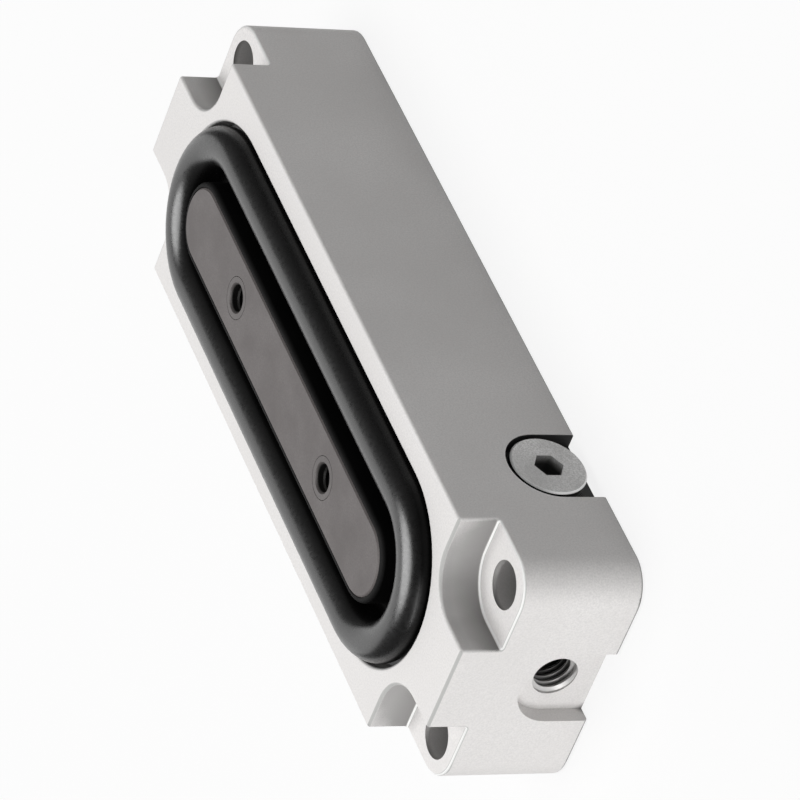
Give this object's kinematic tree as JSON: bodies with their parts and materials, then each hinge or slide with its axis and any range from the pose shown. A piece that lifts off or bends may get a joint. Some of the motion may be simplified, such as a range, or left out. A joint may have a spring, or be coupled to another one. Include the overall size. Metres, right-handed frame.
{
  "type": "diaphragm cylinder",
  "caption": "Flat air-driven diaphragm cylinder: an aluminium block whose stadium-shaped rubber rolling diaphragm pushes out a narrow pressure plate with threaded bushes.",
  "frame": {"origin": "centre of the flat back face, which is the mounting face", "axes": "+X along the block to the end with the open port, +Y to the side with the plugged port, +Z out of the front along the stroke"},
  "size_m": [0.077, 0.025, 0.0174],
  "materials": {
    "housing_aluminium": "fine blasted and clear anodised",
    "diaphragm_rubber": "moulded, satin",
    "frame_steel": "satin",
    "plate_steel": "dull, fine ground",
    "bush_steel": "turned",
    "plug_steel": "nickel plated, satin",
    "seal_rubber": "matte"
  },
  "bodies": {
    "body": {"housing": "housing_aluminium", "diaphragm": "diaphragm_rubber", "clamp_frame": "frame_steel", "blanking_plug": "plug_steel", "plug_seal_ring": "seal_rubber"},
    "plunger": {"pressure_plate": "plate_steel", "backing_plate": "frame_steel", "thread_bush_port_end": "bush_steel", "thread_bush_far_end": "bush_steel"}
  },
  "joints": [
    {"name": "stroke", "type": "slide", "parent": "body", "child": "plunger", "axis": [0, 0, 1], "range_m": [0, 0.004], "stiffness_N_per_m": 3000, "deforming": ["diaphragm"]}
  ]
}
